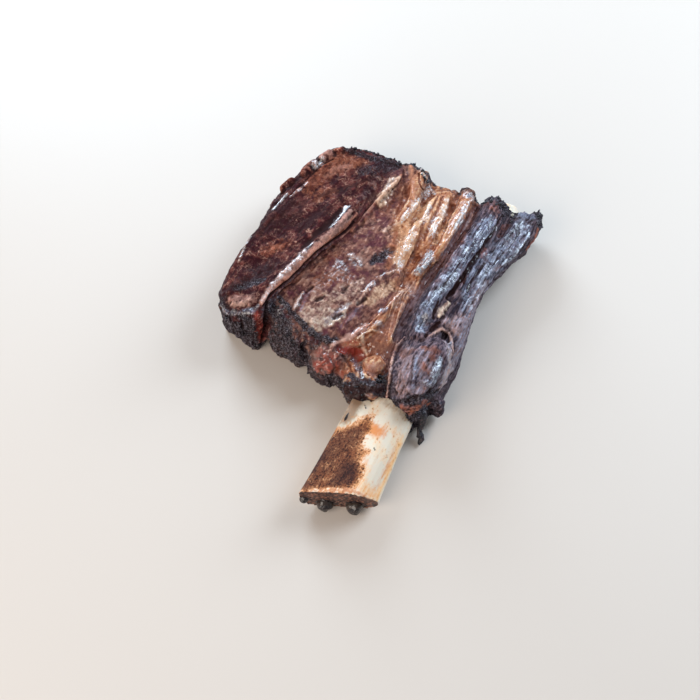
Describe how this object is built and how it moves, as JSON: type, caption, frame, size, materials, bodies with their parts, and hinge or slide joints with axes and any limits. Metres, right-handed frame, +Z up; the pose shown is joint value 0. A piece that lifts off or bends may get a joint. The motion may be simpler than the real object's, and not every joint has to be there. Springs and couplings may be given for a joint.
{
  "type": "beef rib",
  "caption": "Grilled bone-in beef rib lying flat: cap muscle, main muscle, a seam of soft fat and rib meat around a rib bone with one bare, sawn end.",
  "frame": {"origin": "centre of the rib's bounding box in plan, on the surface that the rib rests on", "axes": "+Y along the rib bone, away from its bare sawn end; +X from the cap muscle towards the bone side; +Z up"},
  "size_m": [0.129, 0.1912, 0.0363],
  "materials": {
    "seared_meat": "dark seared meat, greasy sheen, fine pale marbling",
    "roasted_meat": "browned meat, mottled, wet with fat",
    "rendered_fat": "rendered amber fat and sinew, glossy",
    "charred_meat": "charred fibrous meat, silvery sheen",
    "bone": "cooked bone, cream with browned stains, satin"
  },
  "bodies": {
    "root": {"cap_muscle": "seared_meat", "main_muscle": "roasted_meat", "fat_seam": "rendered_fat", "rib_meat": "charred_meat", "rib_bone": "bone"}
  },
  "joints": []
}
